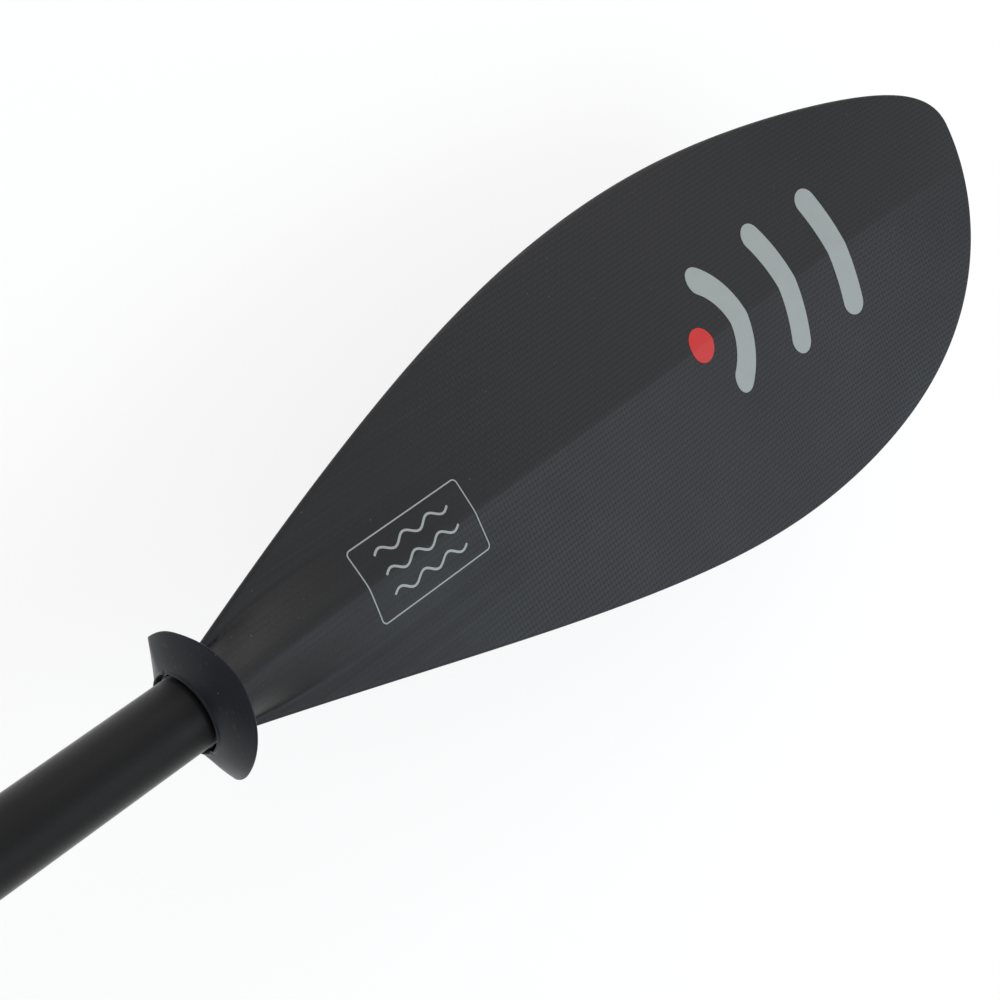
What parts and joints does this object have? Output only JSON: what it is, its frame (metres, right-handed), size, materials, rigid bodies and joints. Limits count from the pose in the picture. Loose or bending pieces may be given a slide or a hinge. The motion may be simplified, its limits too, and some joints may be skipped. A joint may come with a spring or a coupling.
{
  "type": "kayak paddle",
  "caption": "Double-bladed kayak paddle with spooned dihedral blades, rubber drip rings and a lever-clamped centre joint that sets length and feather.",
  "frame": {"origin": "on the shaft's axis, half way between the two blade tips with the length joint pushed in", "axes": "+X along the shaft towards the right blade, +Z the way both power faces look, +Y across the blades towards their shorter edge"},
  "size_m": [2.0998, 0.1784, 0.06],
  "materials": {
    "power_laminate": "satin woven carbon-look laminate",
    "back_laminate": "satin woven carbon-look laminate",
    "core_foam": "closed-cell foam",
    "moulded_plastic": "moulded nylon",
    "shaft_laminate": "matte black tube",
    "plug_foam": "closed-cell foam",
    "ring_rubber": "soft black rubber",
    "ferrule_laminate": "ground and polished laminate",
    "seal_rubber": "black rubber",
    "clamp_plastic": "glass-filled nylon, fine texture",
    "clamp_steel": "stainless steel"
  },
  "bodies": {
    "right_half": {"right_power_skin": "power_laminate", "right_back_skin": "back_laminate", "right_blade_core": "core_foam", "right_neck_spigot": "moulded_plastic", "right_shaft_tube": "shaft_laminate", "right_foam_plug": "plug_foam", "clamp_collar": "clamp_plastic", "clamp_bolt": "clamp_steel", "clamp_nut": "clamp_steel", "nut_washer": "clamp_steel", "cam_saddle": "moulded_plastic"},
    "index_ring": {"index_sleeve": "moulded_plastic"},
    "left_half": {"left_power_skin": "power_laminate", "left_back_skin": "back_laminate", "left_blade_core": "core_foam", "left_neck_spigot": "moulded_plastic", "left_shaft_tube": "shaft_laminate", "left_foam_plug": "plug_foam", "ferrule_tube": "ferrule_laminate", "ferrule_end_bush": "moulded_plastic", "ferrule_seal": "seal_rubber", "ferrule_bumper": "seal_rubber"},
    "lever": {"clamp_lever": "clamp_plastic", "lever_pin": "clamp_steel"},
    "right_ring": {"right_drip_ring": "ring_rubber"},
    "left_ring": {"left_drip_ring": "ring_rubber"}
  },
  "joints": [
    {"name": "feather", "type": "hinge", "parent": "right_half", "child": "index_ring", "pos_m": [-0.062, 0, 0], "axis": [1, 0, 0], "range_deg": [-90, 90]},
    {"name": "length", "type": "slide", "parent": "index_ring", "child": "left_half", "axis": [-1, 0, 0], "range_m": [0, 0.1]},
    {"name": "clamp_lever", "type": "hinge", "parent": "right_half", "child": "lever", "pos_m": [-0.045, 0.025, 0.0158], "axis": [-1, 0, 0], "range_deg": [0, 120]},
    {"name": "right_ring_slide", "type": "slide", "parent": "right_half", "child": "right_ring", "axis": [-1, 0, 0], "range_m": [0, 0.15]},
    {"name": "left_ring_slide", "type": "slide", "parent": "left_half", "child": "left_ring", "axis": [1, 0, 0], "range_m": [0, 0.15]}
  ]
}
